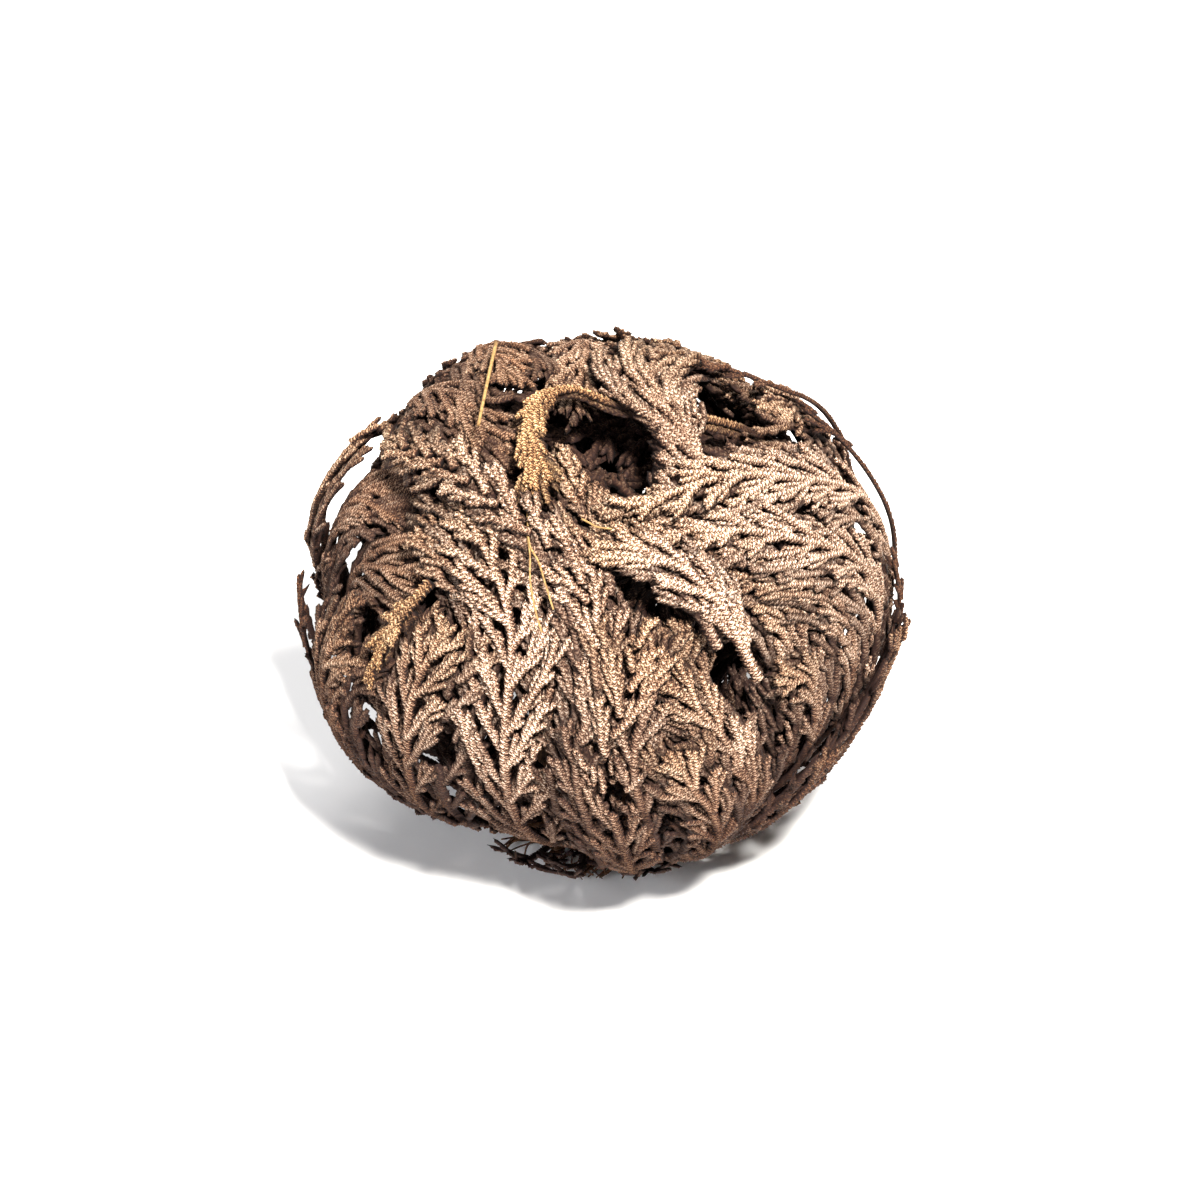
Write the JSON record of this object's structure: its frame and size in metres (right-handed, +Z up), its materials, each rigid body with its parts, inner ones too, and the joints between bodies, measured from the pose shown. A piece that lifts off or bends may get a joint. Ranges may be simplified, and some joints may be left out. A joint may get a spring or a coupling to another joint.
{
  "type": "rose of jericho",
  "caption": "Dried resurrection plant curled into a ball: branching, scale-leaved fronds rise from a woody crown, wrap round the ball and curl in at the top.",
  "frame": {"origin": "centre of the crown's flat underside, on the surface that the ball rests on", "axes": "+Z up out of the crown, -Y towards the front as pictured, +X to the right of the front"},
  "size_m": [0.1012, 0.0937, 0.0858],
  "materials": {
    "dry_frond": "matt, dry scale leaves",
    "dead_frond": "matt, dark, brittle",
    "woody_crown": "rough, fibrous",
    "wiry_root": "matt, wiry",
    "straw": "dry, slightly glossy"
  },
  "bodies": {
    "root": {"crown": "woody_crown", "frond_front_fan": "dry_frond", "frond_long_diagonal": "dry_frond", "frond_front_left": "dry_frond", "frond_front_middle": "dry_frond", "frond_right_diagonal": "dry_frond", "frond_front_right": "dry_frond", "frond_low_right": "dry_frond", "frond_low_fan": "dry_frond", "frond_inner_right": "dry_frond", "frond_broken": "dry_frond", "frond_right_fan": "dry_frond", "frond_right_fan_low": "dry_frond", "frond_right_ledge": "dry_frond", "frond_right_inner": "dry_frond", "frond_right_sweep": "dry_frond", "frond_right_crest": "dry_frond", "frond_right_shoulder": "dry_frond", "frond_top_fan": "dry_frond", "frond_top_centre": "dry_frond", "frond_top_arch": "dry_frond", "frond_left_front": "dry_frond", "frond_left_reach": "dry_frond", "frond_left_lobe": "dry_frond", "frond_left_side": "dry_frond", "frond_left_back": "dry_frond", "frond_left_edge": "dry_frond", "frond_left_curl": "dry_frond", "frond_shoulder_low": "dry_frond", "frond_shoulder_middle": "dry_frond", "frond_shoulder_high": "dry_frond", "frond_top_back": "dry_frond", "frond_top_back_inner": "dry_frond", "frond_back_right": "dry_frond", "frond_back_mid_right": "dry_frond", "frond_back_middle": "dry_frond", "frond_back_wide": "dry_frond", "frond_back_under_right": "dry_frond", "frond_back_under": "dry_frond", "frond_back_under_left": "dry_frond", "frond_inner_front": "dry_frond", "frond_inner_front_left": "dry_frond", "frond_inner_left": "dry_frond", "frond_inner_back_left": "dry_frond", "frond_inner_back_right": "dry_frond", "frond_inner_right_side": "dry_frond", "frond_foot_right": "dry_frond", "frond_foot_front": "dry_frond", "dead_frond_left_high": "dead_frond", "dead_frond_left_low": "dead_frond", "dead_frond_right": "dead_frond", "dead_frond_right_high": "dead_frond", "dead_frond_right_arc": "dead_frond", "dead_frond_front_left": "dead_frond", "dead_frond_front": "dead_frond", "dead_frond_front_right": "dead_frond", "root_front_left": "wiry_root", "root_front": "wiry_root", "root_back": "wiry_root", "straw": "straw"}
  },
  "joints": []
}
